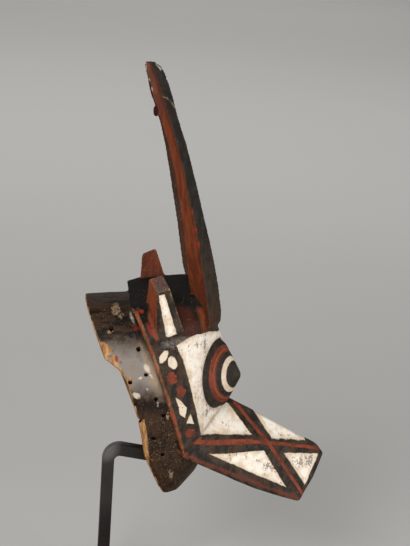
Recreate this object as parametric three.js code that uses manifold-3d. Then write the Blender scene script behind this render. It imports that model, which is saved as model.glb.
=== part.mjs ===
// Bwa buffalo mask of carved and painted wood, on a bent steel bar with a flat foot.
// Millimetres, +Z up. The mask looks along -Y, and the origin is the middle of the foot's underside.
// Places are written as (side, forward, up): side is the distance from the mask's middle plane, forward
// counts from the origin, and up counts from a level that lies workLevel above the floor.

import * as THREE from 'three';
import { ConvexGeometry } from 'three/addons/geometries/ConvexGeometry.js';
import { LoftGeometry } from 'three/addons/geometries/LoftGeometry.js';
import { mergeVertices } from 'three/addons/utils/BufferGeometryUtils.js';
import Module from 'manifold-3d';

const wasm = await Module();
wasm.setup();

const workLevel = 45;

// Helmet: the oval tube that the wearer's head goes into, from its rear rim to inside the face.
// Each ring is given by its top and bottom points in the middle plane and its half width.
const ringPoints = 40;
const upperSquareness = 2.45;
const lowerSquareness = 2.05;
const rimRing = { top: [-135, 456], bottom: [6, 137], halfWidth: 98 };
const collarRing = { top: [-100, 459], bottom: [27, 145], halfWidth: 99 };
const ridgeRing = { top: [-66, 461], bottom: [54, 181], halfWidth: 100 };
const throatRing = { top: [10, 448], bottom: [70, 214], halfWidth: 76 };
const wall = 14;
const hollowThroat = { top: [14, 434], bottom: [50, 226], halfWidth: 62 };
const hollowEnd = { top: [42, 412], bottom: [66, 262], halfWidth: 30 };
const clearOfRim = 20;

// Face block: the boxy front half, a few millimetres proud of the collar, with a ridge where they meet.
const blockTop = [[86, -66, 461], [86, -42, 469], [64, 46, 484]];
const ridgeLine = [[101, -50, 436], [105, -26, 381], [105, 0, 312], [102, 13, 274], [96, 25, 236]];
const cheekLine = [
  [105, 3, 410], [102, 15, 386], [98, 27, 358],
  [95, 37, 325], [90, 45, 290], [84, 49, 264],
];
const noseLine = [[0, 76, 410], [0, 87, 390], [0, 95, 356], [0, 99, 322], [0, 101, 290]];

// Muzzle: a roof-shaped wedge that runs forward and down from the face to a square-cut end.
const muzzleTopRear = [4, 98, 300];
const muzzleTopFront = [4, 248, 225];
const muzzleTip = [6, 260, 210];
const muzzleEndMiddle = [29, 242, 177];
const muzzleEndBottom = [50, 219, 144];
const muzzleBottomMiddle = [61, 145, 169];
const muzzleCrease = [83, 48, 263];
const muzzleBandRear = [86, 40, 251];
const muzzleCheek = [76, 51, 214];
const muzzleJaw = [91, 24, 230];

// Eyes: blunt cones that stand on the slanting sides of the face, narrower on the nose's side of their
// middle. The left one is carved a little lower.
const rightEye = { centre: [33, 82, 349.5], radius: 53, height: 35 };
const leftEye = { centre: [32, 77, 349], radius: 52, height: 28 };
const eyeAxis = { side: 0.6, forward: 0.785, up: 0.14 };
const eyeTipRadius = 4;
const eyeRoot = 14;
const eyeRootTaper = 0.9;
const eyeSides = 40;
const eyeInnerWidth = 0.62;
const eyeInnerCut = 8;

// Ears: tapered blocks with a slanting end face, one on each side of the crown. The left one is slimmer.
const rightEar = {
  end: [[83, -43, 508], [83, -22, 517], [112, -12, 502], [112, -31, 493]],
  root: [[66, -44, 446], [62, 4, 456], [100, 15, 432], [100, -22, 415]],
};
const leftEar = {
  end: [[83, -45, 507], [83, -23, 517], [112, -20, 502], [112, -34, 493]],
  root: [[66, -46, 446], [62, 1, 456], [100, 6, 432], [100, -24, 415]],
};

// Horns: three-sided in section, with a flat inner face and a ridge along the outside.
// Each station is [up, rear edge forward, front edge forward, inner side, ridge forward, ridge side].
const hornStations = [
  [427, 47, 70, 46, 54, 68],
  [438, 38, 76, 41, 55, 72],
  [457, 31, 75, 44, 51, 79],
  [495, 19, 67, 62, 43, 94],
  [530, 13, 58, 75, 35, 108],
  [565, 7, 48, 86, 27, 118],
  [600, 0, 37, 93, 19, 124],
  [640, -8, 25, 97, 7, 126],
  [680, -17, 13, 95, -3, 122],
  [715, -27, 2, 87, -14, 112],
  [745, -38, -9, 74, -24, 97],
  [770, -47, -18, 56, -33, 77],
  [792, -53, -25, 34, -40, 52],
  [808, -58, -32, 15, -46, 30],
  [821, -62, -43, 4, -52, 13],
];
const cornerBlunting = 0.04;

// Repair: a small hard lump on the rear edge of the right horn, below its crack.
const lumpCentre = [66, -44, 757];
const lumpSize = [5, 4, 9];

// Holes for the costume's cords, through the collar on both sides: [forward, up].
const cordHoles = [[-94, 424], [-52, 399], [-39, 362], [-22, 325], [-9, 300], [-22, 261], [-6, 232]];
const cordHoleRadius = 3.4;
const cordHoleSides = 10;
const drillLength = 300;
const edgeHoles = [[-62, 349], [-54, 317], [-44, 290]];

// Damage to the rim on the right side: where the wood has broken away.
const rimBite = [
  [-118, 386], [-98, 379], [-78, 364], [-67, 347], [-58, 320], [-48, 293], [-41, 264], [-36, 238],
  [-31, 216], [-110, 216],
];
const biteInnerSide = 60;
const biteOuterSide = 130;

// Stand: a square bar bent at the top of its post, and the plate that it stands on.
const barSize = 19;
const barGap = 0.3;
const postForward = -85;
const bendRadius = 18;
const bendSteps = 6;
const armSlope = THREE.MathUtils.degToRad(-8.5);
const armCorner = 210;
const armEndForward = 38;
const footSize = [250, 310, 12];
const footBevel = 2;

const rightSide = -1;
const leftSide = 1;

// The point at a distance to one side, forward and up.
function place([side, forward, up], hand = leftSide) {
  return new THREE.Vector3(hand * side, -forward, up + workLevel);
}

function solidOf(geometry) {
  const bare = new THREE.BufferGeometry();
  bare.setAttribute('position', geometry.getAttribute('position'));
  bare.setIndex(geometry.getIndex());
  const merged = mergeVertices(bare, 1e-4);
  return new wasm.Manifold(new wasm.Mesh({
    numProp: 3,
    vertProperties: merged.attributes.position.array,
    triVerts: new Uint32Array(merged.index.array),
  }));
}

function geometryOf(solid) {
  const mesh = solid.getMesh();
  const geometry = new THREE.BufferGeometry();
  geometry.setAttribute('position', new THREE.Float32BufferAttribute(mesh.vertProperties, 3));
  geometry.setIndex(Array.from(mesh.triVerts));
  const flat = geometry.toNonIndexed();
  flat.computeVertexNormals();
  return flat;
}

// A closed solid through rings of points. The rings are turned round where they wind the wrong way.
function loft(rings) {
  const area = new THREE.Vector3();
  const travel = new THREE.Vector3();
  rings[0].forEach((point, i, ring) => {
    area.add(new THREE.Vector3().crossVectors(point, ring[(i + 1) % ring.length]));
    travel.add(rings[1][i]).sub(point);
  });
  const wound = area.dot(travel) > 0 ? rings : rings.map((ring) => [...ring].reverse());
  return solidOf(new LoftGeometry(wound, { capStart: true, capEnd: true }));
}

function hull(points) {
  return solidOf(new ConvexGeometry(points));
}

function bothSides(make) {
  return make(rightSide).add(make(leftSide));
}

// An oval ring of the helmet, shrunk by a wall thickness and moved forward where asked.
function helmetRing({ top, bottom, halfWidth }, shrink = 0, forward = 0) {
  const middle = [(top[0] + bottom[0]) / 2 + forward, (top[1] + bottom[1]) / 2];
  const half = [(top[0] - bottom[0]) / 2, (top[1] - bottom[1]) / 2];
  const upScale = 1 - shrink / Math.hypot(...half);
  const ring = [];
  for (let i = 0; i < ringPoints; i++) {
    const turn = (i / ringPoints) * 2 * Math.PI;
    const squareness = turn < Math.PI ? upperSquareness : lowerSquareness;
    const across = bulge(Math.cos(turn), squareness);
    const along = bulge(Math.sin(turn), squareness) * upScale;
    const side = across * (halfWidth - shrink);
    ring.push(place([side, middle[0] + along * half[0], middle[1] + along * half[1]]));
  }
  return ring;
}

function bulge(value, squareness) {
  return Math.sign(value) * Math.abs(value) ** (2 / squareness);
}

function makeHelmet() {
  return loft([rimRing, collarRing, ridgeRing, throatRing].map((ring) => helmetRing(ring)));
}

function makeFaceBlock() {
  const points = [];
  for (const hand of [rightSide, leftSide]) {
    for (const corner of [...blockTop, ...ridgeLine, ...cheekLine, ...noseLine]) {
      points.push(place(corner, hand));
    }
  }
  return hull(points);
}

function makeMuzzle() {
  const corners = [muzzleTopRear, muzzleTopFront, muzzleTip, muzzleEndMiddle, muzzleEndBottom,
    muzzleBottomMiddle, muzzleCrease, muzzleBandRear, muzzleCheek, muzzleJaw];
  return hull(corners.flatMap((corner) => [place(corner, rightSide), place(corner, leftSide)]));
}

function makeEye(hand) {
  const { centre: middle, radius, height } = hand === rightSide ? rightEye : leftEye;
  const cone = new THREE.CylinderGeometry(eyeTipRadius, radius, height, eyeSides);
  cone.translate(0, height / 2, 0);
  const root = new THREE.CylinderGeometry(radius, radius * eyeRootTaper, eyeRoot, eyeSides);
  root.translate(0, -eyeRoot / 2, 0);
  const axis = new THREE.Vector3(hand * eyeAxis.side, -eyeAxis.forward, eyeAxis.up).normalize();
  const inward = new THREE.Vector3(-hand * eyeAxis.forward, -eyeAxis.side, 0).normalize();
  const turn = new THREE.Matrix4().makeBasis(inward, axis, inward.clone().cross(axis));
  const centre = place(middle, hand);
  const parts = [cone, root].map((piece) => {
    const points = piece.getAttribute('position');
    for (let i = 0; i < points.count; i++) {
      if (points.getX(i) > 0) points.setX(i, points.getX(i) * eyeInnerWidth);
    }
    piece.applyMatrix4(turn.clone().setPosition(centre));
    return solidOf(piece);
  });
  const inner = new THREE.BoxGeometry(2 * radius, 4 * radius, 4 * radius);
  inner.translate(hand * (eyeInnerCut - radius), centre.y, centre.z);
  return parts[0].add(parts[1]).subtract(solidOf(inner));
}

function makeEar(hand) {
  const { end, root } = hand === rightSide ? rightEar : leftEar;
  return hull([...end, ...root].map((corner) => place(corner, hand)));
}

// One three-cornered ring of a horn, with its corners a little blunted.
function hornRing([up, rear, front, inner, ridgeForward, ridgeSide], hand) {
  const spots = [[inner, rear, up], [ridgeSide, ridgeForward, up], [inner, front, up]];
  const corners = spots.map((spot) => place(spot, hand));
  const ring = [];
  corners.forEach((corner, i) => {
    const before = corners[(i + 2) % 3];
    const after = corners[(i + 1) % 3];
    ring.push(corner.clone().lerp(before, cornerBlunting), corner.clone().lerp(after, cornerBlunting));
  });
  return ring;
}

function makeHorn(hand) {
  return loft(hornStations.map((station) => hornRing(station, hand)));
}

function makeLump() {
  const lump = new THREE.SphereGeometry(1, 10, 6);
  lump.scale(...lumpSize);
  lump.translate(...place(lumpCentre, rightSide));
  return solidOf(lump);
}

// The hollow: the helmet's tube less its wall, then a narrowing space behind the eyes.
function makeHollow() {
  const behind = helmetRing(rimRing, wall, -clearOfRim);
  const tube = [rimRing, collarRing, ridgeRing].map((ring) => helmetRing(ring, wall));
  return loft([behind, ...tube, helmetRing(hollowThroat), helmetRing(hollowEnd)]);
}

function makeCordHoles() {
  const holes = [...cordHoles, ...edgeHoles].map(([forward, up]) => {
    const drill = new THREE.CylinderGeometry(cordHoleRadius, cordHoleRadius, drillLength, cordHoleSides);
    drill.rotateZ(Math.PI / 2);
    drill.translate(...place([0, forward, up]));
    return solidOf(drill);
  });
  return holes.reduce((all, hole) => all.add(hole));
}

function makeRimBite() {
  const outline = new THREE.Shape(rimBite.map(([forward, up]) => new THREE.Vector2(-forward, up)));
  const depth = biteOuterSide - biteInnerSide;
  const bite = new THREE.ExtrudeGeometry(outline, { depth, bevelEnabled: false });
  // The outline is drawn on X and Y: stand it up on Y and Z, with its depth along X.
  const upright = new THREE.Matrix4().set(0, 0, 1, 0, 1, 0, 0, 0, 0, 1, 0, 0, 0, 0, 0, 1);
  bite.applyMatrix4(upright);
  bite.translate(-biteOuterSide, 0, workLevel);
  return solidOf(bite);
}

function makeMask() {
  const carved = makeHelmet()
    .add(makeFaceBlock())
    .add(makeMuzzle())
    .add(bothSides(makeEye))
    .add(bothSides(makeEar))
    .add(bothSides(makeHorn))
    .add(makeLump());
  return carved.subtract(makeHollow()).subtract(makeCordHoles()).subtract(makeRimBite());
}

// The bar's centre line: up the post, round the bend and down the arm.
function makeRod() {
  const bendAngle = Math.PI / 2 - armSlope;
  const bendUp = armCorner - bendRadius * Math.tan(bendAngle / 2);
  const route = [[postForward, footSize[2] + barGap - workLevel]];
  for (let i = 0; i <= bendSteps; i++) {
    const turn = Math.PI - (bendAngle * i) / bendSteps;
    const forward = postForward + bendRadius + bendRadius * Math.cos(turn);
    route.push([forward, bendUp + bendRadius * Math.sin(turn)]);
  }
  route.push([armEndForward, armCorner + (armEndForward - postForward) * Math.tan(armSlope)]);
  return loft(route.map((spot, i) => barRing(route, i)));
}

// The bar's square section, mitred between the stretches before and after a point of its route.
function barRing(route, i) {
  const here = new THREE.Vector2(...route[i]);
  const way = (a, b) => new THREE.Vector2(b[0] - a[0], b[1] - a[1]).normalize();
  const before = i > 0 ? way(route[i - 1], route[i]) : way(route[0], route[1]);
  const after = i < route.length - 1 ? way(route[i], route[i + 1]) : before;
  const along = before.clone().add(after).normalize();
  const out = new THREE.Vector2(-along.y, along.x).multiplyScalar(barSize / 2 / along.dot(before));
  const half = barSize / 2;
  const upper = here.clone().add(out);
  const lower = here.clone().sub(out);
  const corners = [[half, upper], [half, lower], [-half, lower], [-half, upper]];
  return corners.map(([side, spot]) => place([side, spot.x, spot.y]));
}

function makeFoot() {
  const [width, depth, height] = footSize;
  const ring = (inset, up) => [[1, 1], [-1, 1], [-1, -1], [1, -1]].map(([x, y]) =>
    new THREE.Vector3(x * (width / 2 - inset), y * (depth / 2 - inset), up));
  return loft([ring(0, 0), ring(0, height - footBevel), ring(footBevel, height)]);
}

const paintedWood = new THREE.MeshStandardMaterial({ color: 0x3a332f, roughness: 0.75, metalness: 0 });
const blackSteel = new THREE.MeshStandardMaterial({ color: 0x2b2523, roughness: 0.5, metalness: 0.4 });

function piece(name, solid, material) {
  const mesh = new THREE.Mesh(geometryOf(solid), material);
  mesh.name = name;
  return mesh;
}

const buffaloMask = new THREE.Group();
buffaloMask.add(piece('mask', makeMask(), paintedWood));
buffaloMask.add(piece('stand_rod', makeRod(), blackSteel));
buffaloMask.add(piece('stand_foot', makeFoot(), blackSteel));

export default buffaloMask;
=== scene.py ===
import math

import bmesh
import bpy
import numpy as np
from mathutils import Matrix, Vector, noise


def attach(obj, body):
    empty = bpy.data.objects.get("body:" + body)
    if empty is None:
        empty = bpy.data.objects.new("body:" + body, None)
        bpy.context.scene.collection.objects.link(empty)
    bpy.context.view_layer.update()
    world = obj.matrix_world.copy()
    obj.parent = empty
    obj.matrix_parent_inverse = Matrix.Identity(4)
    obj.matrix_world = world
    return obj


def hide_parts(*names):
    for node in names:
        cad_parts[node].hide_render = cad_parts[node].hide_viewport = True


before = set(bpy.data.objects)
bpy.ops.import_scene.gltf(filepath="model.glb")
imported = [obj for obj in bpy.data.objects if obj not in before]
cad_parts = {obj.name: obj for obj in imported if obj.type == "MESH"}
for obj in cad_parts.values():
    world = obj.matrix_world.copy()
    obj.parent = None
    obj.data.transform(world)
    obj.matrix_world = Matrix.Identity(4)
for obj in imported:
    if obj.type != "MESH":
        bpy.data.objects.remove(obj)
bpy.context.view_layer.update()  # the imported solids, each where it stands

workLevel = 45  # mm above the floor; heights on the mask count from here
print("frame loaded")


# places on the mask are (side, forward, up) in mm; the right side of the mask is -X
def place(side, forward, up):
    return Vector((side, -forward, up + workLevel)) / 1000


def tone(code):  # a paint colour from its usual six-figure code
    parts = [int(code[i:i + 2], 16) / 255 for i in (0, 2, 4)]
    return tuple(c / 12.92 if c <= 0.04045 else ((c + 0.055) / 1.055) ** 2.4 for c in parts) + (1.0,)


class Flow:  # a value in a material; sums on it add nodes
    def __init__(self, coat, socket):
        self.coat = coat
        self.socket = socket

    def math(self, operation, *others, clamp=False):
        sockets = dict(enumerate((self,) + others))
        return self.coat.node("ShaderNodeMath", {"operation": operation, "use_clamp": clamp}, sockets)

    def __add__(self, other):
        return self.math("ADD", other)

    def __sub__(self, other):
        return self.math("SUBTRACT", other)

    def __mul__(self, other):
        return self.math("MULTIPLY", other)

    def __neg__(self):
        return self.math("MULTIPLY", -1.0)

    def __abs__(self):
        return self.math("ABSOLUTE")

    def __rsub__(self, other):
        return (-self).math("ADD", other)

    __radd__ = __add__
    __rmul__ = __mul__

    def output(self, index):  # another output of the same node
        return Flow(self.coat, self.socket.node.outputs[index])

    def below(self, other):
        return self.math("MINIMUM", other)

    def above(self, other):
        return self.math("MAXIMUM", other)


class Coat:  # one material and its nodes
    def __init__(self, name):
        self.material = bpy.data.materials.new(name)
        self.material.use_nodes = True
        self.tree = self.material.node_tree
        self.tree.nodes.clear()

    def node(self, kind, settings=None, sockets=None, out=0):
        made = self.tree.nodes.new(kind)
        for key, value in (settings or {}).items():
            setattr(made, key, value)
        for key, value in (sockets or {}).items():
            if isinstance(value, Flow):
                self.tree.links.new(value.socket, made.inputs[key])
            else:
                made.inputs[key].default_value = value
        return Flow(self, made.outputs[out]) if made.outputs else None

    def blend(self, amount, under, top):  # colour over colour
        return self.node("ShaderNodeMix", {"data_type": "RGBA"}, {0: amount, 6: under, 7: top}, out=2)

    def layers(self, paint, *coats):  # each coat is how much of it lies there, and its colour
        for amount, colour in coats:
            paint = self.blend(amount, paint, colour)
        return paint

    def spots(self, where, scale, detail, rough=0.5):  # cloudy noise, scale in repeats per metre
        sockets = {"Vector": where, "Scale": scale, "Detail": detail, "Roughness": rough}
        return self.node("ShaderNodeTexNoise", None, sockets)

    def stretched(self, where, scales):
        return self.node("ShaderNodeVectorMath", {"operation": "MULTIPLY"}, {0: where, 1: scales})

    def flat(self, forward, up):  # the side view as one value, for oval
        return self.node("ShaderNodeCombineXYZ", None, {0: forward, 1: up})

    def oval(self, spot, middle, half, lean):  # about the mm inside a leaning oval
        sockets = {"Vector": spot, "Location": (*middle, 0), "Rotation": (0, 0, math.radians(lean)),
                   "Scale": (*half, 1)}
        turned = self.node("ShaderNodeMapping", {"vector_type": "TEXTURE"}, sockets)
        reach = self.node("ShaderNodeVectorMath", {"operation": "LENGTH"}, {0: turned}, out=1)
        return reach.math("MULTIPLY_ADD", -min(half), min(half))

    def field(self, name):  # a value that the mesh carries at each point
        return self.node("ShaderNodeAttribute", {"attribute_name": name}, out=2)

    def finish(self, colour, roughness, height=None, depth=0.0, metallic=0.0, specular=0.5):
        sockets = {"Base Color": colour, "Roughness": roughness, "Metallic": metallic,
                   "Specular IOR Level": specular}
        if height is not None:
            bumps = {"Strength": 1.0, "Distance": depth, "Height": height}
            sockets["Normal"] = self.node("ShaderNodeBump", None, bumps)
        body = self.node("ShaderNodeBsdfPrincipled", None, sockets)
        self.node("ShaderNodeOutputMaterial", None, {"Surface": body})
        return self.material


def over(value, edge, soft):  # 0 below the edge, 1 above it
    return value.math("MULTIPLY_ADD", 1 / soft, 0.5 - edge / soft, clamp=True)


def most(first, *others):
    for other in others:
        first = first.above(other) if isinstance(first, Flow) else np.maximum(first, other)
    return first


def least(first, *others):
    for other in others:
        first = first.below(other) if isinstance(first, Flow) else np.minimum(first, other)
    return first


# the outlines work on the mesh's arrays and on a material's values alike
def beside(forward, up, start, end):  # mm to the left of the way from start to end
    along = math.hypot(end[0] - start[0], end[1] - start[1])
    across = (-(end[1] - start[1]) / along, (end[0] - start[0]) / along)
    return forward * across[0] + up * across[1] - (start[0] * across[0] + start[1] * across[1])


def inside(forward, up, outline):  # mm inside a convex outline
    area = sum(a[0] * b[1] - a[1] * b[0] for a, b in zip(outline, outline[1:] + outline[:1]))
    ring = outline if area > 0 else outline[::-1]
    return least(*[beside(forward, up, a, b) for a, b in zip(ring, ring[1:] + ring[:1])])


def leftOf(forward, up, line):  # mm to the left of a line that bends one way
    return least(*[beside(forward, up, a, b) for a, b in zip(line, line[1:])])


def onLine(forward, up, line, half):  # mm inside a painted line
    found = None
    for a, b in zip(line, line[1:]):
        stretch = least(half - abs(beside(forward, up, a, b)), *ends(forward, up, a, b))
        found = stretch if found is None else most(found, stretch)
    return found


def ends(forward, up, a, b, spare=1.5):  # mm inside either end of a stretch
    along = Vector((b[0] - a[0], b[1] - a[1])).normalized()
    run = forward * along.x + up * along.y
    return run - (a[0] * along.x + a[1] * along.y - spare), (b[0] * along.x + b[1] * along.y + spare) - run


carving = {
    "voxel": 0.0018,  # metres
    "quickVoxel": 0.006,
    "faces": 192000,  # triangles at most
    "smoothing": 2,
    "evening": 9,  # rounds that take out the voxel steps and keep the size
    "rounding": 12,  # further rounds of smoothing where handling has rounded the edges most
    "handledForward": 200,  # the muzzle is worn from here forward, the helmet's lower end below the next
    "handledBelow": 172,
    "surroundings": 12,  # rounds of smoothing that show where the surface stands proud
    "relief": 1.3,  # mm that the white fields lie below the bands
    "toolMarks": (  # repeats per metre, place in the noise, stretch, depth in mm
        (22, 3.1, (1, 1, 1), 0.55),
        (70, 8.4, (1, 1, 0.45), 0.28),
        (190, 1.7, (1, 1, 1), 0.1),
    ),
    "chipMarks": (95, 5.5),
    "tipFullness": 1.8,  # mm added between the two heights that follow
    "tipFrom": 745,
    "tipTo": 819,
    "inset": 0.0003,  # metres that the finished surface stays inside the drawn size
    # the helmet's rings: top and bottom as (forward, up), then half the width
    "rimRing": ((-135, 456), (6, 137), 98),
    "collarRing": ((-100, 459), (27, 145), 99),
    "ridgeRing": ((-66, 461), (54, 181), 100),
    "throatRing": ((10, 448), (70, 214), 76),
    "upperSquareness": 2.45,
    "lowerSquareness": 2.05,
    # corners of one half
    "blockTop": ((86, -66, 461), (86, -42, 469), (64, 46, 484)),
    "ridge": ((101, -50, 436), (105, -26, 381), (105, 0, 312), (102, 13, 274), (96, 25, 236)),
    "cheek": ((105, 3, 410), (102, 15, 386), (98, 27, 358), (95, 37, 325), (90, 45, 290), (84, 49, 264)),
    "nose": ((0, 76, 410), (0, 87, 390), (0, 95, 356), (0, 99, 322), (0, 101, 290)),
    "muzzle": ((4, 98, 300), (4, 248, 225), (6, 260, 210), (29, 242, 177), (50, 219, 144), (61, 145, 169),
               (83, 48, 263), (86, 40, 251), (76, 51, 214), (91, 24, 230)),
    "earEnd": ((83, -43, 508), (83, -22, 517), (112, -12, 502), (112, -31, 493)),
    "earRoot": ((66, -44, 446), (62, 4, 456), (100, 15, 432), (100, -22, 415)),
    "leftEarEnd": ((83, -45, 507), (83, -23, 517), (112, -20, 502), (112, -34, 493)),
    "leftEarRoot": ((66, -46, 446), (62, 1, 456), (100, 6, 432), (100, -24, 415)),
    # an eye's middle, radius and height
    "eye": ((33, 82, 349.5), 53, 35),
    "leftEye": ((32, 77, 349), 52, 28),
    "eyeAxis": (0.6, 0.785, 0.14),
    "eyeInnerWidth": 0.62,
    "earFaces": {  # the corners of each face, by their places in the end and the root
        "earTop": (0, 1, 2, 3),
        "earRear": (0, 3, 7, 4),
        "earOuter": (3, 2, 6, 7),
        "earFront": (1, 5, 6, 2),
        "earInner": (0, 4, 5, 1),
    },
    "horn": (  # height, then rear, front and inner edge, then the outer ridge forward and sideways
        (427, 47, 70, 46, 54, 68), (438, 38, 76, 41, 55, 72), (457, 31, 75, 44, 51, 79),
        (495, 19, 67, 62, 43, 94), (530, 13, 58, 75, 35, 108), (565, 7, 48, 86, 27, 118),
        (600, 0, 37, 93, 19, 124), (640, -8, 25, 97, 7, 126), (680, -17, 13, 95, -3, 122),
        (715, -27, 2, 87, -14, 112), (745, -38, -9, 74, -24, 97), (770, -47, -18, 56, -33, 77),
        (792, -53, -25, 34, -40, 52), (808, -58, -32, 15, -46, 30), (821, -62, -43, 4, -52, 13),
    ),
    "cordHoles": (
        (-94, 424), (-52, 399), (-39, 362), (-22, 325), (-9, 300), (-22, 261), (-6, 232), (-62, 349),
        (-54, 317), (-44, 290),
    ),
    "holeRadius": 3.4,
    "holeSlack": 1.4,  # mm past the drawn hole that its eased wall may reach
    "brokenRim": (
        (-118, 386), (-98, 379), (-78, 364), (-67, 347), (-58, 320), (-48, 293), (-41, 264), (-36, 238),
        (-31, 216),
    ),
}

# painted fields in the side view, as (forward, up); a line comes with half its width
fields = {
    "muzzleWhite": (
        ((50, 264), (135.6, 252), (100.5, 291.5), (84, 302)),
        ((143, 277), (170, 243), (227, 232.5), (227, 245), (150, 290)),
        ((66.5, 232.5), (156, 228.5), (195, 170)),
        ((191, 220.5), (250.5, 212), (228, 169)),
    ),
    "bars": (
        (((110, 293), (163, 239.5), (226, 154)), 2.3),
        (((42, 253.5), (135, 244)), 3.6),
        (((135, 244), (187, 234), (254, 219)), 2.2),
    ),
    "jawLine": ((20, 232), (219, 144)),
    "cheekEdge": ((54.5, 262), (42, 303), (33.4, 336.6), (25.9, 362.6), (14.6, 389.9), (2.8, 413)),
    "browEdge": ((74, 414.5), (56, 422.5), (35, 424.3), (20, 420), (-20, 403)),
    "ridgeEdge": ((25, 236), (13, 274), (0, 312), (-26, 381), (-50, 436)),
    "whitePatches": (
        ((8.2, 330), (15, 325), (25.9, 312.7), (24, 297), (15.7, 303)),
        ((26.3, 288), (32.1, 302), (39.2, 284.5)),
    ),
    "earPanel": ((-28, 490.6), (-19.6, 492.5), (3.2, 429.7), (-12, 422.2)),
    "dustyBand": ((-21, 417), (-3.5, 420), (21, 429), (24, 407), (-16.5, 409)),
    "hornFoot": ((-6, 468), (8, 436), (21, 421), (40, 423), (40, 432), (22, 466)),
    "hornSkirt": ((32, 464), (54, 464), (61, 423), (46, 423)),
    "bareStrip": (((-41, 290), (-37, 272), (-33.5, 250), (-31, 232), (-29, 216)), 3.6),
    "crackLine": (((-34.7, 779), (-29.5, 777.5), (-24, 772.5), (-17.6, 764)), 0.6),
    "tipEdge": (((-61, 829), (-53, 828.5), (-45, 822), (-38, 813)), 1.5),
}

# knocks, spills and spots on the right side: middle (forward, up), half sizes, lean in degrees
marks = {
    "whiteSpots": (((-14.5, 394.5), (5.2, 10.5), -28), ((-0.8, 385.5), (6.6, 11), 26)),
    "redSpots": (((0.7, 362), (7.6, 10.5), 12), ((15.5, 341), (7, 8.6), 25), ((33.3, 271), (7.6, 6.2), 20)),
    "pale": (
        ((-62, 439.5), (1.8, 6.5), 25), ((-38, 372), (4.5, 8), 30), ((-36, 341), (1.3, 1.3), 0),
        ((-51, 329), (6, 3.5), -20), ((-47, 357), (3, 1.8), 10), ((-19, 316), (1.2, 3), 10),
        ((-32, 362), (1.6, 4), 40),
    ),
    "tan": (
        ((-86.5, 449), (6.5, 5.5), 20), ((-79, 442), (3.5, 2.4), 30), ((-95, 421), (4, 2.4), 0),
        ((10.5, 193), (2.6, 9), 12), ((-3, 300), (1.5, 5), 10),
    ),
    "spilt": (
        ((-58, 430), (5.5, 4.5), 30), ((-51, 459), (4, 3), 10), ((-84, 384), (3, 4.5), 20),
        ((-88, 370.5), (5.5, 2.6), -35), ((-38, 436), (2.6, 9), 19),
    ),
    "rust": (
        ((-32.6, 440), (4, 24), 19), ((-77, 379), (2.4, 2.4), 0), ((30, 234), (13, 4), -22),
        ((48, 256), (8, 3.5), 20),
    ),
    "chipped": (((-94, 386), (25, 7), -56), ((-75, 359.5), (15, 3.6), -66), ((-62, 352), (7, 3), -60)),
    "scuffs": (
        ((38, 408), (11, 4), -8), ((226, 205), (13, 9), 0), ((62, 296), (9, 5), 30),
        ((160, 206), (22, 4), -25),
    ),
    "hornSpots": (((24.6, 571), (3, 5), 0), ((19.9, 594.5), (2, 3.5), 0), ((12.2, 621), (1.6, 3), 0)),
    "hornChips": (((-59.3, 815), (1.2, 5), 0), ((-54.8, 798), (1.1, 2.2), 0), ((-50.8, 786), (1.1, 2.5), 0)),
    "lump": (((-47, 757), (6.5, 10), 0),),
}


def solidGap(points, corners):  # mm outside the convex solid through these corners
    form = bmesh.new()
    for corner in corners:
        form.verts.new(corner)
    bmesh.ops.convex_hull(form, input=form.verts)
    form.normal_update()
    gap = np.full(len(points), -1e9)
    for face in form.faces:
        normal = np.array(face.normal)
        gap = np.maximum(gap, points @ normal - normal @ np.array(face.verts[0].co))
    form.free()
    return gap


def mirrored(corners):  # both sides' corners
    return list(corners) + [(-side, forward, up) for side, forward, up in corners]


def shellGap(spots):  # mm outside the helmet's oval tube
    side, forward, up = np.abs(spots[:, 0]), spots[:, 1], spots[:, 2]
    rings = [carving[name] for name in ("rimRing", "collarRing", "ridgeRing", "throatRing")]
    past = [beside(forward, up, *ring[:2]) for ring in rings]
    gap = np.full(len(spots), 1e3)
    for k in range(len(rings) - 1):
        share = np.clip(past[k] / (past[k] - past[k + 1] + 1e-6), 0, 1)
        topForward, topUp = [rings[k][0][i] * (1 - share) + rings[k + 1][0][i] * share for i in (0, 1)]
        lowForward, lowUp = [rings[k][1][i] * (1 - share) + rings[k + 1][1][i] * share for i in (0, 1)]
        width = rings[k][2] * (1 - share) + rings[k + 1][2] * share
        half = np.hypot(topForward - lowForward, topUp - lowUp) / 2
        along = ((forward - (topForward + lowForward) / 2) * (topForward - lowForward)
                 + (up - (topUp + lowUp) / 2) * (topUp - lowUp)) / (2 * half ** 2)
        power = np.where(along > 0, carving["upperSquareness"], carving["lowerSquareness"])
        reach = ((side / width) ** power + np.abs(along) ** power) ** (1 / power)
        ringGap = (reach - 1) * width
        here = (past[k] >= -3 if k == 0 else past[k] >= 0) & (past[k + 1] < 0)
        gap = np.where(here, ringGap, gap)
    return gap


def hornGaps(spots):  # mm outside each of the horn's three faces, and past its ends
    side, forward, up = np.abs(spots[:, 0]), spots[:, 1], spots[:, 2]
    stations = np.array(carving["horn"], float)
    edges = [np.interp(up, stations[:, 0], stations[:, i]) for i in range(1, 6)]
    rear, front, inner, ridgeForward, ridgeSide = edges

    def outside(fromSide, fromForward, toSide, toForward):
        wide, deep = toSide - fromSide, toForward - fromForward
        return (deep * (side - fromSide) - wide * (forward - fromForward)) / np.hypot(wide, deep)

    rearGap = -outside(ridgeSide, ridgeForward, inner, rear)
    frontGap = outside(ridgeSide, ridgeForward, inner, front)
    away = np.maximum(stations[0, 0] - up, up - stations[-1, 0])
    return rearGap, frontGap, inner - side, away


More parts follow.
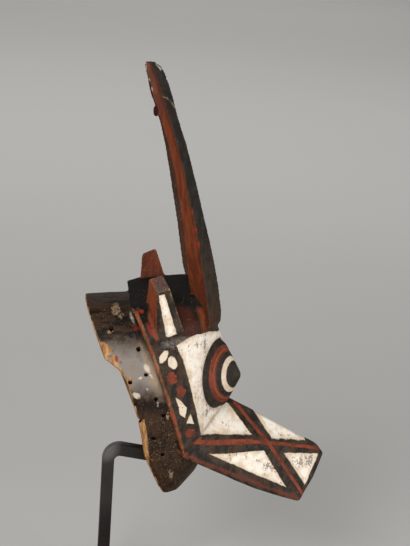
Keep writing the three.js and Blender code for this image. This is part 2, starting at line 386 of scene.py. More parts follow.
def eyeFields(spots, middle, radius, height):  # mm outside the cone, and parts of its radius from the axis
    axis = Vector(carving["eyeAxis"]).normalized()
    inward = Vector((-axis.y, axis.x, 0)).normalized()
    upward = inward.cross(axis)
    local = spots - np.array(middle)
    local[:, 0] = np.abs(spots[:, 0]) - middle[0]
    out, sideways, rise = [local @ np.array(way) for way in (axis, inward, upward)]
    sideways = np.where(sideways > 0, sideways / carving["eyeInnerWidth"], sideways)
    turn = np.hypot(sideways, rise)
    slope = math.hypot(radius, height)
    cone = (turn * height + out * radius - radius * height) / slope
    root = turn - radius * (1 + out * 0.007)
    return np.where(out > 0, cone, np.maximum(root, -14 - out)), turn / radius


def brokenRim(spots):  # mm forward of the rim, and of the break on the right side
    forward, up = spots[:, 1], spots[:, 2]
    whole = beside(forward, up, *carving["rimRing"][:2])
    line = carving["brokenRim"]
    breakForward = np.interp(-up, [-p[1] for p in line], [p[0] for p in line])
    bitten = (spots[:, 0] < 0) & (up < line[0][1] + 6) & (up > line[-1][1] - 2)
    return np.where(bitten, np.minimum(whole, (forward - breakForward) * 0.95), whole)


def paintOver(gaps):  # mm by which each part lies nearest to the surface
    names = list(gaps)
    stack = np.abs(np.array([gaps[name] for name in names]))
    result = {}
    for k, name in enumerate(names):
        result[name] = np.delete(stack, k, axis=0).min(axis=0) - stack[k]
    return result


def meshArrays(mesh):
    spots = np.zeros(len(mesh.vertices) * 3)
    mesh.vertices.foreach_get("co", spots)
    normals = np.zeros(len(mesh.vertices) * 3)
    mesh.vertices.foreach_get("normal", normals)
    edges = np.zeros(len(mesh.edges) * 2, int)
    mesh.edges.foreach_get("vertices", edges)
    return spots.reshape(-1, 3), normals.reshape(-1, 3), edges.reshape(-1, 2)


def eased(spots, edges, rounds, share=0.5):  # each point moved towards the middle of its neighbours
    count = np.bincount(edges.ravel(), minlength=len(spots))[:, None]
    for turn in range(rounds):
        total = np.zeros_like(spots)
        for i in range(3):
            total[:, i] = (np.bincount(edges[:, 0], spots[edges[:, 1], i], len(spots))
                           + np.bincount(edges[:, 1], spots[edges[:, 0], i], len(spots)))
        spots = spots * (1 - share) + total / np.maximum(count, 1) * share
    return spots


def cloud(spots, scale, seed, stretch=(1, 1, 1)):  # smooth noise at each point, about -1 to 1
    way = Vector(stretch) * scale
    return np.array([noise.noise(Vector((x * way.x + seed, y * way.y - seed, z * way.z)))
                     for x, y, z in spots.tolist()])


def carveMask():
    rough = bmesh.new()
    rough.from_mesh(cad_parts["mask"].data)
    bmesh.ops.remove_doubles(rough, verts=rough.verts, dist=1e-5)
    mesh = bpy.data.meshes.new("buffaloMask")
    rough.to_mesh(mesh)
    rough.free()
    mask = bpy.data.objects.new("buffaloMask", mesh)
    bpy.context.scene.collection.objects.link(mask)
    remesh = mask.modifiers.new("even", "REMESH")
    remesh.mode = "VOXEL"
    remesh.voxel_size = carving["voxel"]
    even = bpy.data.meshes.new_from_object(mask.evaluated_get(bpy.context.evaluated_depsgraph_get()))
    mask.modifiers.clear()
    mask.data = even
    even.name = "buffaloMask"
    shapeMask(even)
    triangles = sum(len(face.vertices) - 2 for face in even.polygons)
    if triangles > carving["faces"]:
        fewer = mask.modifiers.new("fewer", "DECIMATE")
        fewer.ratio = carving["faces"] / triangles
        final = bpy.data.meshes.new_from_object(mask.evaluated_get(bpy.context.evaluated_depsgraph_get()))
        mask.modifiers.clear()
        mask.data = final
        bpy.data.meshes.remove(even)
        final.name = "buffaloMask"
    for face in mask.data.polygons:
        face.use_smooth = True
    print("mask carved,", len(mask.data.polygons), "faces from", triangles)
    return mask


def earPlanes(spots):  # mm outside each face of the ear
    corners = [Vector(corner) for corner in carving["earEnd"] + carving["earRoot"]]
    middle = sum(corners, Vector()) / len(corners)
    planes = {}
    for name, four in carving["earFaces"].items():
        first, second, last = corners[four[0]], corners[four[1]], corners[four[3]]
        normal = (second - first).cross(last - first).normalized()
        if normal.dot(first - middle) < 0:
            normal = -normal
        planes[name] = spots @ np.array(normal) - normal.dot(first)
    return planes


def findTraits(spots):  # which part each point lies on, and where on it
    onRight = spots[:, 0] < 0
    half = spots.copy()
    half[:, 0] = np.abs(half[:, 0])
    rearGap, frontGap, innerGap, away = hornGaps(spots)
    eyeRight, turnRight = eyeFields(spots, *carving["eye"])
    eyeLeft, turnLeft = eyeFields(spots, *carving["leftEye"])
    ear = solidGap(half, carving["earEnd"] + carving["earRoot"])
    leftEar = solidGap(half, carving["leftEarEnd"] + carving["leftEarRoot"])
    block = carving["blockTop"] + carving["ridge"] + carving["cheek"] + carving["nose"]
    gaps = {
        "horn": np.maximum.reduce([rearGap, frontGap, innerGap, away]),
        "eye": np.where(onRight, eyeRight, eyeLeft),
        "ear": np.where(onRight, ear, leftEar),
        "muzzle": solidGap(spots, mirrored(carving["muzzle"])),
        "block": solidGap(spots, mirrored(block)),
        "shell": shellGap(spots),
    }
    traits = {name + "Over": value for name, value in paintOver(gaps).items()}
    traits["depth"] = -np.minimum.reduce(list(gaps.values()))
    traits["hornTurn"] = frontGap - rearGap
    traits["hornInner"] = innerGap - np.maximum(frontGap, rearGap)
    traits["eyeTurn"] = np.where(onRight, turnRight, turnLeft)
    traits["rim"] = brokenRim(spots)
    planes = earPlanes(half)
    for name in planes:
        others = [planes[other] for other in planes if other != name]
        traits[name] = planes[name] - np.maximum.reduce(others)
    return traits


# takes out the voxel steps, then rounds what hands touch
def easeSurface(metres, edges, forward, up, traits):
    smooth = eased(metres, edges, carving["smoothing"])
    for turn in range(carving["evening"]):
        smooth = eased(eased(smooth, edges, 1, 0.5), edges, 1, -0.52)
    handled = np.clip((forward - carving["handledForward"]) / 20, 0, 1)
    handled += np.clip((carving["handledBelow"] - up) / 16, 0, 1) * (traits["shellOver"] > -4)
    handled = np.clip(handled + 0.3 * (traits["hornOver"] < -6), 0, 1)[:, None]
    return smooth + (eased(smooth, edges, carving["rounding"]) - smooth) * handled


def toolPush(metres, forward, up, traits):  # mm that tool, relief, chips and wear move the surface outwards
    outside = np.clip(1 - traits["depth"] / 3, 0, 1)
    onMuzzle = np.clip(traits["muzzleOver"] / 2, 0, 1) * outside
    onEarSide = np.clip(traits["earOuter"] / 2, 0, 1) * np.clip(traits["earOver"] / 2, 0, 1)
    onHorn = np.clip(traits["hornOver"] / 2, 0, 1)

    sunk = most(*[inside(forward, up, field) for field in fields["muzzleWhite"]])
    panel = inside(forward, up, fields["earPanel"])
    lower = np.clip(sunk / 2 + 0.5, 0, 1) * onMuzzle + np.clip(panel / 2 + 0.5, 0, 1) * onEarSide * 0.7
    hand = sum(cloud(metres, scale, seed, stretch) * amount
               for scale, seed, stretch, amount in carving["toolMarks"])
    chipNoise = cloud(metres, *carving["chipMarks"])
    chips = np.clip(traits["wearAndPaintedLight"] - 0.35, 0, 1.2) * np.clip(chipNoise - 0.12, 0, 1) * 2.2
    chips *= 1 - 0.8 * onHorn
    rimWear = np.clip(1 - traits["rim"] / 7, 0, 1) * (np.clip(chipNoise + 0.35, 0, 1) * 2.2 + 0.5)
    rimWear *= np.clip(1 - traits["depth"] / 6, 0, 1) * (traits["shellOver"] > -6)
    tip = onHorn * np.clip((up - carving["tipFrom"]) / 30, 0, 1) * np.clip((carving["tipTo"] - up) / 6, 0, 1)
    tip *= carving["tipFullness"]
    return hand * (1 - 0.5 * onHorn) - carving["relief"] * lower - chips - rimWear + tip


def shapeMask(mesh):
    metres, normals, edges = meshArrays(mesh)
    spots = np.column_stack((metres[:, 0], -metres[:, 1], metres[:, 2])) * 1000
    spots[:, 2] -= workLevel
    forward, up = spots[:, 1], spots[:, 2]

    traits = findTraits(spots)
    smooth = easeSurface(metres, edges, forward, up, traits)
    wide = eased(smooth, edges, carving["surroundings"], 0.6)
    traits["wearAndPaintedLight"] = -np.einsum("ij,ij->i", wide - smooth, normals) * 1000  # mm proud of the surroundings
    holes = np.min([np.hypot(forward - f, up - u) for f, u in carving["cordHoles"]], axis=0)
    inWall = (traits["depth"] > 1.2) & (traits["shellOver"] > -8)
    traits["drilled"] = np.where(inWall, carving["holeRadius"] + carving["holeSlack"] - holes, -5)

    smooth += normals * toolPush(metres, forward, up, traits)[:, None] / 1000
    smooth = np.clip(smooth, metres.min(axis=0) + carving["inset"], metres.max(axis=0) - carving["inset"])
    mesh.vertices.foreach_set("co", smooth.ravel())
    mesh.update()
    for name, value in traits.items():
        mesh.attributes.new(name, "FLOAT", "POINT").data.foreach_set("value", value.astype(np.float32))


paints = {
    "soot": tone("24211e"),
    "sootWorn": tone("51463c"),
    "earth": tone("4b3423"),
    "chalk": tone("f0e6d8"),
    "chalkStain": tone("bd9d74"),
    "chalkDirt": tone("665a4d"),
    "red": tone("87412d"),
    "redDark": tone("4c2119"),
    "orange": tone("7f3f20"),
    "orangeDark": tone("3d1a10"),
    "ringLine": tone("b0704a"),
    "spilt": tone("82281b"),
    "collar": tone("2b1f17"),
    "collarDeep": tone("171113"),
    "collarGrey": tone("8d857d"),
    "collarTan": tone("a18569"),
    "ochre": tone("70522f"),
    "pale": tone("d5c8b6"),
    "crown": tone("0b0e0c"),
    "moss": tone("2d312d"),
    "ridge": tone("5e4129"),
    "orangeBit": tone("84412a"),
    "maroon": tone("2e100e"),
    "wood": tone("be9160"),
    "woodDark": tone("8a5a2e"),
    "insideWood": tone("4d3826"),
    "purpleGrey": tone("644a41"),
    "holeShade": tone("0a0807"),
}

# rings as parts of the eye's radius, the rest in mm, mostly heights
bands = {
    "whiteRing": (0.405, 0.53),
    "redRing": (0.665, 0.845),
    "ringLine": 0.725,
    "eyeEdge": 1.045,
    "noseStrip": 3.5,  # half the dark strip along the nose
    "ridge": (242, 458),
    "deep": 314,  # the collar is darkest here
    "paintedSheen": (326, 410),  # and grey with a painted highlight here
    "high": 408,
    "crown": 440,
    "hornEarth": 560,  # earth clings to the horns below this
    "hornDarkerEnds": (530, 745),  # their orange is darker below the first and above the second
    "hornGrey": 765,
    "earEnd": -34,  # the ear's end is red behind this
    "skirtSide": 55,
}


class MaskCoat(Coat):  # the mask's paint, with the values that its layers share
    def __init__(self):
        super().__init__("paintedWood")
        where = self.node("ShaderNodeTexCoord", None, None, out=3)
        parts = self.node("ShaderNodeSeparateXYZ", None, {0: where})
        self.xRow, yRow, zRow = [parts.output(i) for i in range(3)]

        self.cloudy = self.spots(where, 14, 3)
        self.mottle = self.spots(where, 62, 4, 0.6)
        self.fleck = self.spots(where, 330, 2, 0.6)
        self.speck = self.spots(where, 620, 1)
        self.grain = self.spots(self.stretched(where, (1, 1, 0.09)), 260, 3, 0.6)
        self.streaks = self.spots(self.stretched(where, (1, 1, 0.12)), 95, 4, 0.65)
        self.wiped = self.spots(self.stretched(where, (1, 0.14, 1)), 150, 3, 0.6)
        brush = self.spots(where, 90, 2)
        drift = self.node("ShaderNodeSeparateColor", None, {0: brush.output(1)})
        driftForward, driftUp = [drift.output(i) - 0.5 for i in (0, 1)]

        self.fray = (self.fleck - 0.5) * 1.2
        self.rough = self.fray * 1.5 + (self.mottle - 0.5) * 9
        self.forward = yRow * -1000 + driftForward * 3 + self.fray
        self.up = zRow * 1000 + driftUp * 3 + self.fray - workLevel
        self.spot = self.flat(self.forward, self.up)
        self.right = over(-self.xRow, 0.0, 0.002)  # 1 on the right side, 0 on the left

        names = ("muzzle", "block", "shell", "horn", "ear", "eye")
        self.gaps = {name: self.field(name + "Over") for name in names}
        onParts = [over(gap, 0, 0.8) for gap in self.gaps.values()]
        self.onMuzzle, self.onBlock, self.onShell, self.onHorn, self.onEar, self.onEye = onParts
        self.turn = self.field("eyeTurn") + driftUp * 0.02 + self.fray * 0.008
        self.cheekGap = leftOf(self.forward, self.up, fields["cheekEdge"])
        self.ridgeGap = leftOf(self.forward, self.up, fields["ridgeEdge"])

        # the collar's painted sheen, a grey band of painted highlight, then the face block behind its ridge
        # and above it, and the hollow
        low, high = bands["paintedSheen"]
        wearAndPaintedLight = least(self.up - low, high - self.up) + (self.cloudy - 0.5) * 60 + (self.mottle - 0.5) * 40
        self.paintedSheen = over(wearAndPaintedLight, 9, 38)
        self.behind = over(least(self.ridgeGap - 2.5, bands["crown"] - self.up), 0, 2) * self.onBlock
        # the block's black paint above the crown height, made near black as painted shade
        self.crown = over(self.up - bands["crown"] + (self.cloudy - 0.5) * 12, 0, 12) * self.onBlock
        self.inner = over(self.field("depth"), 2.2, 1.4)

    def within(self, name):  # mm inside one painted field
        return inside(self.forward, self.up, fields[name])

    def withinAny(self, name):
        return most(*[inside(self.forward, self.up, field) for field in fields[name]])

    def line(self, name):
        return onLine(self.forward, self.up, *fields[name])

    def ring(self, low, high):  # a painted ring on the eye
        return over(least(self.turn - low, high - self.turn), 0, 0.02) * self.onEye

    def knock(self, name, ragged=1.0, soft=2.0):  # one kind of mark, ragged at its edge
        reach = most(*[self.oval(self.spot, *mark) for mark in marks[name]])
        return over(reach + self.rough * ragged, 0, soft)


def layWhite(coat):  # where the chalk lies, and mm inside its edges
    muzzle = coat.withinAny("muzzleWhite")
    brow = leftOf(coat.forward, coat.up, fields["browEdge"])
    noseStrip = abs(coat.xRow) * 1000 + coat.fray - bands["noseStrip"]
    face = least(-coat.cheekGap, brow, noseStrip, (coat.turn - bands["eyeEdge"]) * 50)
    pointed = over(coat.withinAny("whitePatches") + coat.rough * 0.25, 0, 1.2)
    patches = most(pointed, coat.knock("whiteSpots", 0.5, 1.2)) * coat.onBlock
    panel = least(coat.within("earPanel"), coat.field("earOuter") * 2)
    white = most(over(muzzle, 0, 1.2) * coat.onMuzzle, over(face, 0, 1.2) * coat.onBlock, patches,
                 over(panel, 0, 1.2) * coat.onEar, coat.ring(*bands["whiteRing"]))
    return white, most(least(muzzle, coat.gaps["muzzle"] * 2), least(face, coat.gaps["block"] * 2), panel)


def layRed(coat):
    bars = most(*[onLine(coat.forward, coat.up, *bar) for bar in fields["bars"]])
    jaw = beside(coat.forward, coat.up, *fields["jawLine"])
    underMuzzle = over(3.2 - abs(jaw - 3.8) + (coat.mottle - 0.5) * 14, 0, 5) * 0.5
    redSpots = coat.knock("redSpots", 1.3, 1.4) * coat.onBlock * over(coat.fleck + coat.mottle, 0.88, 0.14)
    return most(over(bars, 0, 1.4) * coat.onMuzzle, underMuzzle * coat.onMuzzle, redSpots,
                coat.ring(*bands["redRing"]))


def sootPaint(coat):
    hornTone = coat.layers(
        paints["soot"],
        (over(coat.mottle, 0.5, 0.2) * 0.6, paints["moss"]),
        (over(-coat.up, -bands["hornEarth"], 120) * over(coat.streaks, 0.45, 0.2) * 0.6, paints["earth"]),
    )
    dusty = over(coat.within("dustyBand") + coat.rough, 0, 6) * over(coat.fleck, 0.45, 0.2)
    gritty = over(2.5 - abs(coat.cheekGap) + coat.rough * 0.3, 0, 2) * over(coat.fleck, 0.5, 0.1)
    return coat.layers(
        paints["soot"],
        (over(coat.mottle, 0.55, 0.25) * (0.7 - coat.onEye * 0.35), paints["sootWorn"]),
        (over(coat.streaks, 0.56, 0.12) * (0.6 - coat.onEye * 0.42), paints["earth"]),
        (dusty * 0.5, paints["collarGrey"]),
        (coat.onHorn * 0.7, hornTone),
        (gritty * coat.onBlock * 0.6, paints["earth"]),
    )


def collarPaint(coat):
    cloudy, mottle, fleck, speck = coat.cloudy, coat.mottle, coat.fleck, coat.speck
    high = over(coat.up + (cloudy - 0.5) * 40, bands["high"], 24)
    deep = over(15 - abs(coat.up - bands["deep"]) + (cloudy - 0.5) * 40 + (mottle - 0.5) * 14, 0, 14)
    dusting = over(mottle * 0.6 + speck * 0.4, 0.56, 0.08) * over(fleck, 0.5, 0.1) * over(cloudy, 0.42, 0.16)
    dustTone = coat.blend(over(speck, 0.6, 0.1), paints["ochre"], paints["collarTan"])
    # painted highlight: the collar is lightened just behind the ridge, inside the painted sheen
    ridgeHighlight = over(6 - abs(coat.ridgeGap - 8) + (mottle - 0.5) * 8, 0, 8) * coat.paintedSheen
    return coat.layers(
        paints["collar"],
        (over(coat.streaks, 0.5, 0.2) * (0.55 - high * 0.3), paints["earth"]),
        (over(coat.wiped, 0.52, 0.08) * high * 0.7, paints["earth"]),
        (over(-coat.wiped, -0.48, 0.06) * high * 0.8, paints["crown"]),
        (over(cloudy * 0.5 + mottle * 0.5, 0.54, 0.08) * 0.5, paints["crown"]),
        (deep * 0.8, paints["collarDeep"]),
        # painted highlight: the grey sheen band across the collar
        (coat.paintedSheen * 0.85, paints["collarGrey"]),
        (dusting * (0.42 - high * 0.2), dustTone),
        (ridgeHighlight * 0.6, paints["collarTan"]),
        (high * (1 - coat.paintedSheen) * 0.3, paints["crown"]),
    )


def orangePaint(coat):
    low, high = bands["hornDarkerEnds"]
    darkerEnds = (over(low - coat.up, 0, 90) * 0.4 + over(coat.up, high, 50) * 0.3) * coat.onHorn
    # painted shade: the orange darkens within about 5 mm of its edge against the black face
    edgeShade = over(coat.field("hornTurn") + (coat.mottle - 0.5) * 9, -5, 5) * coat.onHorn
    return coat.layers(
        paints["orange"],
        (over(coat.cloudy, 0.5, 0.3) * 0.5, paints["red"]),
        (over(coat.streaks + darkerEnds * 0.3, 0.52, 0.2) * 0.6, paints["orangeDark"]),
        (over(coat.up, bands["hornGrey"], 60) * coat.onHorn * 0.4, paints["purpleGrey"]),
        (edgeShade * 0.65, paints["orangeDark"]),
    )


def chalkPaint(coat, edge):
    stained = over(4.5 - edge + (coat.mottle - 0.5) * 14, 0, 5)
    scuffed = over(coat.streaks * 0.5 + coat.fleck * 0.5 + coat.knock("scuffs", 1, 6) * 0.1, 0.6, 0.05)
    return coat.layers(
        paints["chalk"],
        (over(coat.mottle, 0.54, 0.14) * 0.35, paints["chalkStain"]),
        (stained * 0.45, paints["chalkStain"]),
        (coat.onEye * 0.14, paints["chalkDirt"]),
        (scuffed * 0.75, paints["chalkDirt"]),
    )


def earEndPaint(coat):
    mottle, fleck, speck = coat.mottle, coat.fleck, coat.speck
    return coat.layers(
        paints["purpleGrey"],
        (over(mottle * 0.6 + fleck * 0.4, 0.52, 0.08) * 0.6, paints["collar"]),
        (over(bands["earEnd"] - coat.forward + (mottle - 0.5) * 14, 0, 4), paints["red"]),
        (over(speck, 0.6, 0.06) * 0.5, paints["collarGrey"]),
    )


def rimStrips(coat):  # bare wood along the broken rim
    mottle = coat.mottle
    rim = coat.field("rim") + (mottle - 0.5) * 7
    strip = over(coat.line("bareStrip") + coat.rough * 0.3, 0, 1.5)
    strip = strip * over(coat.streaks * 0.5 + mottle * 0.5, 0.44, 0.08) * 0.8
    chipped = coat.knock("chipped", 0.6) * over(mottle, 0.38, 0.1)
    return most(over(2.2 - rim, 0, 1.2), strip * coat.right, chipped * coat.right) * coat.onShell


def groundPaint(coat):
    foot = over(coat.within("hornFoot") + coat.rough, 0, 8) * coat.onBlock
    return coat.layers(
        sootPaint(coat),
        (most(coat.onShell, coat.behind), collarPaint(coat)),
        # painted shade: near black over the crown's black paint
        (coat.crown * 0.9, paints["crown"]),
        (foot * 0.6, paints["redDark"]),
    )


def ridgeLayer(coat):  # the rubbed edge between the face block and the collar
    low, high = bands["ridge"]
    onRidge = over(least(high - coat.up, coat.up - low), 0, 8) * most(coat.onBlock, coat.onShell)
    ridge = over(2.9 - abs(coat.ridgeGap + 1) + (coat.mottle - 0.5) * 4, 0, 1.6) * onRidge
    ridgeTone = coat.layers(
        paints["ridge"],
        (over(coat.mottle, 0.5, 0.14), paints["orangeBit"]),
        (over(coat.streaks, 0.56, 0.06) * 0.3, paints["collarTan"]),
    )
    return ridge, ridgeTone


def fieldPaint(coat, white, whiteEdge):  # the ground with its red, orange and white fields
    mottle, fleck, streaks, onHorn, onEar = coat.mottle, coat.fleck, coat.streaks, coat.onHorn, coat.onEar
    redTone = coat.blend(over(mottle + coat.onEye * 0.08, 0.5, 0.3) * 0.7, paints["red"], paints["redDark"])
    orangeTone = orangePaint(coat)
    hornRear = over((mottle - 0.5) * 2.4 - coat.field("hornTurn") + coat.fray, 0, 1.2) * onHorn
    hornInside = over(coat.field("hornInner"), 0, 1.2) * onHorn
    earRed = over(most(coat.field("earRear"), coat.field("earInner")), 0, 1) * onEar
    orange = most(hornRear * (1 - hornInside), earRed)
    skirt = over(coat.within("hornSkirt") + coat.rough * 0.6, 1, 6) * coat.onBlock
    skirt = skirt * over(abs(coat.xRow) * 1000, bands["skirtSide"], 10)
    ringLine = over(0.014 - abs(coat.turn - bands["ringLine"]), 0, 0.014) * over(mottle, 0.45, 0.2)
    dusted = over(coat.speck * 0.7 + fleck * 0.3, 0.66, 0.03) * (1 - white)
    return coat.layers(
        groundPaint(coat),
        (layRed(coat) * over(fleck, 0.3, 0.12), redTone),
        (orange * over(fleck, 0.27, 0.12), orangeTone),
        ridgeLayer(coat),
        (skirt * 0.85, orangeTone),
        (hornInside * over(streaks, 0.4, 0.25) * 0.55, paints["orangeDark"]),
        (ringLine * coat.onEye * 0.4, paints["ringLine"]),
        # painted shade: the left ear is darkened
        ((1 - coat.right) * onEar * 0.45, paints["orangeDark"]),
        (over(coat.field("earTop"), 0, 1) * onEar * 0.85, earEndPaint(coat)),
        (white * over(fleck * 0.6 + mottle * 0.4, 0.32, 0.05), chalkPaint(coat, whiteEdge)),
        (dusted * 0.4, paints["collarTan"]),
    )


def splashed(coat, paint):  # knocks and splashes on the right side
    mottle, fleck, right = coat.mottle, coat.fleck, coat.right
    nearShell = coat.onShell * right
    rust = coat.knock("rust", 0.7) * right * (1 - coat.onEar) * over(mottle, 0.42, 0.15)
    return coat.layers(
        paint,
        (rust * 0.75, paints["red"]),
        (coat.knock("tan") * nearShell * over(fleck, 0.47, 0.1) * 0.8, paints["collarTan"]),
        (coat.knock("pale", 0.8) * nearShell * over(fleck, 0.38, 0.1) * 0.75, paints["pale"]),
        (coat.knock("hornSpots", 0.3) * coat.onHorn * right * 0.8, paints["spilt"]),
    )


def wornBareAndShade(coat, paint):  # bare wood, the horn's crack and chips, the repair lump, painted shade in the creases and cord holes, and the hollow
    mottle, fleck, grain, right = coat.mottle, coat.fleck, coat.grain, coat.right
    nearHorn = coat.onHorn * right
    wearAndPaintedLight = coat.field("wearAndPaintedLight") + (fleck - 0.5) * 1.4 + (mottle - 0.5) - coat.onHorn * 0.6
    rimStrip = rimStrips(coat)
    bare = most(over(wearAndPaintedLight, 1.0, 0.4) * 0.7, rimStrip * over(fleck, 0.3, 0.15))
    woodTone = coat.blend(over(grain * 0.6 + mottle * 0.4, 0.5, 0.16), paints["wood"], paints["woodDark"])
    crack = over(coat.line("crackLine"), 0, 0.5) * over(mottle, 0.35, 0.2) * nearHorn
    light = most(coat.knock("hornChips", 0.2, 1.2), over(coat.line("tipEdge"), 0, 1)) * nearHorn
    # painted shade: creases, where the surface lies below its surroundings, are darkened with the collar
    # colour, less within the painted sheen
    creaseShade = over(-coat.field("wearAndPaintedLight"), 0.5, 1.2)
    insideTone = coat.blend(over(grain, 0.5, 0.2) * 0.6, paints["insideWood"], paints["collar"])
    return coat.layers(
        paint,
        (bare, woodTone),
        (coat.knock("spilt", 0.6) * right * over(mottle, 0.38, 0.15) * 0.85, paints["spilt"]),
        (crack * 0.6, paints["collarTan"]),
        (light * 0.7, paints["pale"]),
        (coat.knock("lump", 0.2) * right, paints["maroon"]),
        (creaseShade * (0.6 - coat.paintedSheen * most(coat.onShell, coat.behind) * 0.45), paints["collar"]),
        (coat.inner * (1 - rimStrip * 0.6), insideTone),
        # painted shade: the walls of the cord holes are near black
        (over(coat.field("drilled"), 0, 1), paints["holeShade"]),
    )


def paintMask():
    coat = MaskCoat()
    white, whiteEdge = layWhite(coat)
    paint = wornBareAndShade(coat, splashed(coat, fieldPaint(coat, white, whiteEdge)))
    roughness = (0.58 + white * 0.25 + (coat.mottle - 0.5) * 0.3 + coat.inner * 0.2
                 - coat.paintedSheen * coat.onShell * 0.15 + coat.crown * 0.3 + coat.onHorn * 0.12)
    height = (coat.grain * 0.4 + coat.fleck * 0.35 + coat.streaks * 0.5 + coat.mottle * 0.5
              - white * 0.4)
    return coat.finish(paint, roughness, height, 0.0006, specular=0.09)


mask = carveMask()
mask.data.materials.clear()
mask.data.materials.append(paintMask())
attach(mask, "root")
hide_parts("mask")
print("mask painted")


stand = {
    # sizes in metres
    "bar": 0.019,
    "corner": 0.0018,
    "endBevel": 0.0012,
    "plate": (0.250, 0.310, 0.012),
    "plateCorner": 0.005,
    "plateBevel": 0.0015,
    "gap": 0.0003,
    # the bar's way in mm, forward and up as on the mask
    "postForward": -85,
    "bendRadius": 18,
    "bendSteps": 20,
    "armCorner": 210,
    "armSlope": math.radians(-8.5),
    "armEndForward": 38,
    # the steel's colours, and the oval of painted highlight at the bend
    "black": tone("1f1a18"),
    "haze": tone("2b2522"),
    "grit": tone("5a514b"),
    "bendHighlight": tone("7d7b78"),
    "bendHighlightOval": ((-84, 204), (22, 15), 45),
}


def ringShell(name, rings):  # a closed skin over rings of equal count
    form = bmesh.new()
    loops = [[form.verts.new(point) for point in ring] for ring in rings]
    for low, high in zip(loops, loops[1:]):
        for i in range(len(low)):
            j = (i + 1) % len(low)
            form.faces.new((low[i], low[j], high[j], high[i]))
    form.faces.new(loops[0][::-1])
    form.faces.new(loops[-1])
    bmesh.ops.recalc_face_normals(form, faces=form.faces)
    mesh = bpy.data.meshes.new(name)
    form.to_mesh(mesh)
    form.free()
    for face in mesh.polygons:
        face.use_smooth = len(face.vertices) == 4
    made = bpy.data.objects.new(name, mesh)
    bpy.context.scene.collection.objects.link(made)
    return made


def roundedSquare(width, depth, corner, steps=4):  # a ring of points with round corners
    ring = []
    for sx, sy, start in ((1, 1, 0), (-1, 1, 90), (-1, -1, 180), (1, -1, 270)):
        for k in range(steps + 1):
            turn = math.radians(start + 90 * k / steps)
            ring.append((sx * (width / 2 - corner) + corner * math.cos(turn),
                         sy * (depth / 2 - corner) + corner * math.sin(turn)))
    return ring


def bendBar():
    bend = math.pi / 2 - stand["armSlope"]
    radius = stand["bendRadius"]
    bendUp = stand["armCorner"] - radius * math.tan(bend / 2)
    plateTop = (stand["plate"][2] + stand["gap"]) * 1000 - workLevel
    post = stand["postForward"]
    route = [(post, plateTop, math.pi / 2), (post, plateTop + 1, math.pi / 2)]
    for k in range(stand["bendSteps"] + 1):
        turn = math.pi - bend * k / stand["bendSteps"]
        forward = post + radius + radius * math.cos(turn)
        route.append((forward, bendUp + radius * math.sin(turn), turn - math.pi / 2))
    run = stand["armEndForward"] - post
    for back in (stand["endBevel"] * 1000, 0):
        up = stand["armCorner"] + (run - back) * math.tan(stand["armSlope"])
        route.append((stand["armEndForward"] - back, up, stand["armSlope"]))
    rings = []
    for k, (forward, up, way) in enumerate(route):
        inset = stand["endBevel"] if k in (0, len(route) - 1) else 0
        square = roundedSquare(stand["bar"] - 2 * inset, stand["bar"] - 2 * inset, stand["corner"])
        across = Vector((0, math.sin(way), math.cos(way)))  # the bar's upper side in the row frame
        middle = place(0, forward, up)
        rings.append([middle + Vector((x, 0, 0)) + across * y for x, y in square])
    return ringShell("standBar", rings)


def cutPlate():
    width, depth, height = stand["plate"]
    bevel = stand["plateBevel"]
    arris = bevel * 0.3
    levels = ((bevel, 0), (0, bevel), (0, height - bevel), (arris, height - arris), (bevel, height))
    rings = []
    for inset, level in levels:
        square = roundedSquare(width - 2 * inset, depth - 2 * inset, stand["plateCorner"] - inset, 5)
        rings.append([Vector((x, y, level)) for x, y in square])
    return ringShell("footPlate", rings)


def paintSteel():
    coat = Coat("blackSteel")
    where = coat.node("ShaderNodeTexCoord", None, None, out=3)
    haze = coat.spots(where, 35, 3)
    grit = coat.spots(where, 900, 2, 0.6)
    parts = coat.node("ShaderNodeSeparateXYZ", None, {0: where})
    spot = coat.flat(parts.output(1) * -1000, parts.output(2) * 1000 - workLevel)
    colour = coat.layers(
        stand["black"],
        (over(haze, 0.5, 0.4), stand["haze"]),
        (over(grit, 0.68, 0.05) * 0.4, stand["grit"]),
        # painted highlight: a lighter grey oval on the bar's bend
        (over(coat.oval(spot, *stand["bendHighlightOval"]), 5, 12) * 0.5, stand["bendHighlight"]),
    )
    return coat.finish(colour, 0.36 + haze * 0.2, grit, 0.00008, metallic=0.25)


steel = paintSteel()
for piece, node in ((bendBar(), "stand_rod"), (cutPlate(), "stand_foot")):
    piece.data.materials.append(steel)
    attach(piece, "root")
    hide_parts(node)
print("stand made")


studio = {
    "floorSize": 80.0,
    "floorTone": tone("c9c8c5"),
    "floorHaze": tone("bfbebb"),
    "sky": (1.0, 0.995, 0.985),
    "skyStrength": 0.27,
    "target": Vector((0, -0.050, 0.545)),
    "back": Vector((-0.96498, 0.10143, 0.24192)).normalized(),
    "distance": 2.3509,  # metres, as the target and the lamps' places
    "roll": math.radians(3.8),
    "lens": 100.0,
    "sensor": 36,
    "clipEnd": 200,
    "lamps": {  # each one's place, what it faces, its size, power and colour
        "keyLight": ((-2.4, 1.3, 1.9), (0, 0, 0.5), (1.5, 1.5), 63, (1.0, 0.985, 0.965)),
        "fillLight": ((-2.3, -1.8, 0.7), (0, 0, 0.5), (1.6, 1.2), 46, (0.985, 0.99, 1.0)),
        "backdropLight": ((5.6, 0.2, 4.6), (7.5, 0.2, 0), (8.0, 8.0), 185, (1.0, 1.0, 0.99)),
        "farLight": ((15.5, -1.5, 5.0), (15.5, -1.5, 0), (9.0, 9.0), 150, (1.0, 1.0, 0.99)),
    },
}


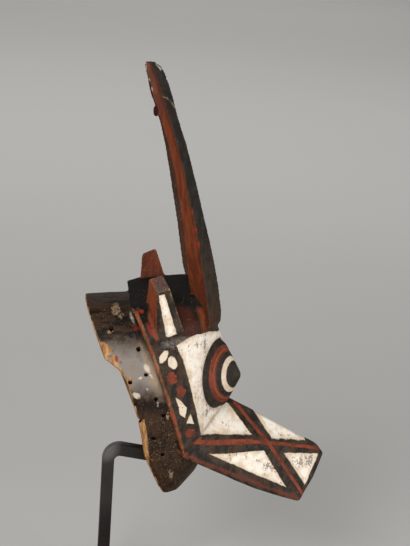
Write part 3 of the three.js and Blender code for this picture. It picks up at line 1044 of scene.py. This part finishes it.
def layFloor():
    form = bmesh.new()
    bmesh.ops.create_grid(form, x_segments=8, y_segments=8, size=studio["floorSize"] / 2)
    mesh = bpy.data.meshes.new("floor")
    form.to_mesh(mesh)
    form.free()
    floor = bpy.data.objects.new("floor", mesh)
    bpy.context.scene.collection.objects.link(floor)
    coat = Coat("paleFloor")
    where = coat.node("ShaderNodeTexCoord", None, None, out=3)
    haze = coat.spots(where, 0.6, 2)
    colour = coat.blend(haze * 0.3, studio["floorTone"], studio["floorHaze"])
    mesh.materials.append(coat.finish(colour, 0.9))


def softBox(name, spot, aim, size, power, colour):
    lamp = bpy.data.lights.new(name, "AREA")
    lamp.shape = "RECTANGLE"
    lamp.size, lamp.size_y = size
    lamp.energy = power
    lamp.color = colour
    box = bpy.data.objects.new(name, lamp)
    box.location = spot
    box.rotation_euler = (Vector(aim) - Vector(spot)).to_track_quat("-Z", "Y").to_euler()
    bpy.context.scene.collection.objects.link(box)


def lightStudio():
    bpy.context.scene.view_settings.view_transform = "Standard"
    world = bpy.data.worlds.new("studio")
    world.use_nodes = True
    sky = world.node_tree.nodes["Background"]
    sky.inputs[0].default_value = (*studio["sky"], 1)
    sky.inputs[1].default_value = studio["skyStrength"]
    bpy.context.scene.world = world
    for name, lamp in studio["lamps"].items():
        softBox(name, *lamp)


def setCamera():
    back = studio["back"]
    level = (-back).cross(Vector((0, 0, 1))).normalized()
    rise = level.cross(-back)
    roll = studio["roll"]
    across = level * math.cos(roll) + rise * math.sin(roll)
    upward = rise * math.cos(roll) - level * math.sin(roll)
    camera = bpy.data.objects.new("camera", bpy.data.cameras.new("camera"))
    camera.data.lens = studio["lens"]
    camera.data.sensor_width = studio["sensor"]
    camera.data.clip_end = studio["clipEnd"]
    spot = studio["target"] + back * studio["distance"]
    camera.matrix_world = Matrix((
        (across.x, upward.x, back.x, spot.x),
        (across.y, upward.y, back.y, spot.y),
        (across.z, upward.z, back.z, spot.z),
        (0, 0, 0, 1),
    ))
    bpy.context.scene.collection.objects.link(camera)
    bpy.context.scene.camera = camera


layFloor()
lightStudio()
setCamera()
print("studio set")
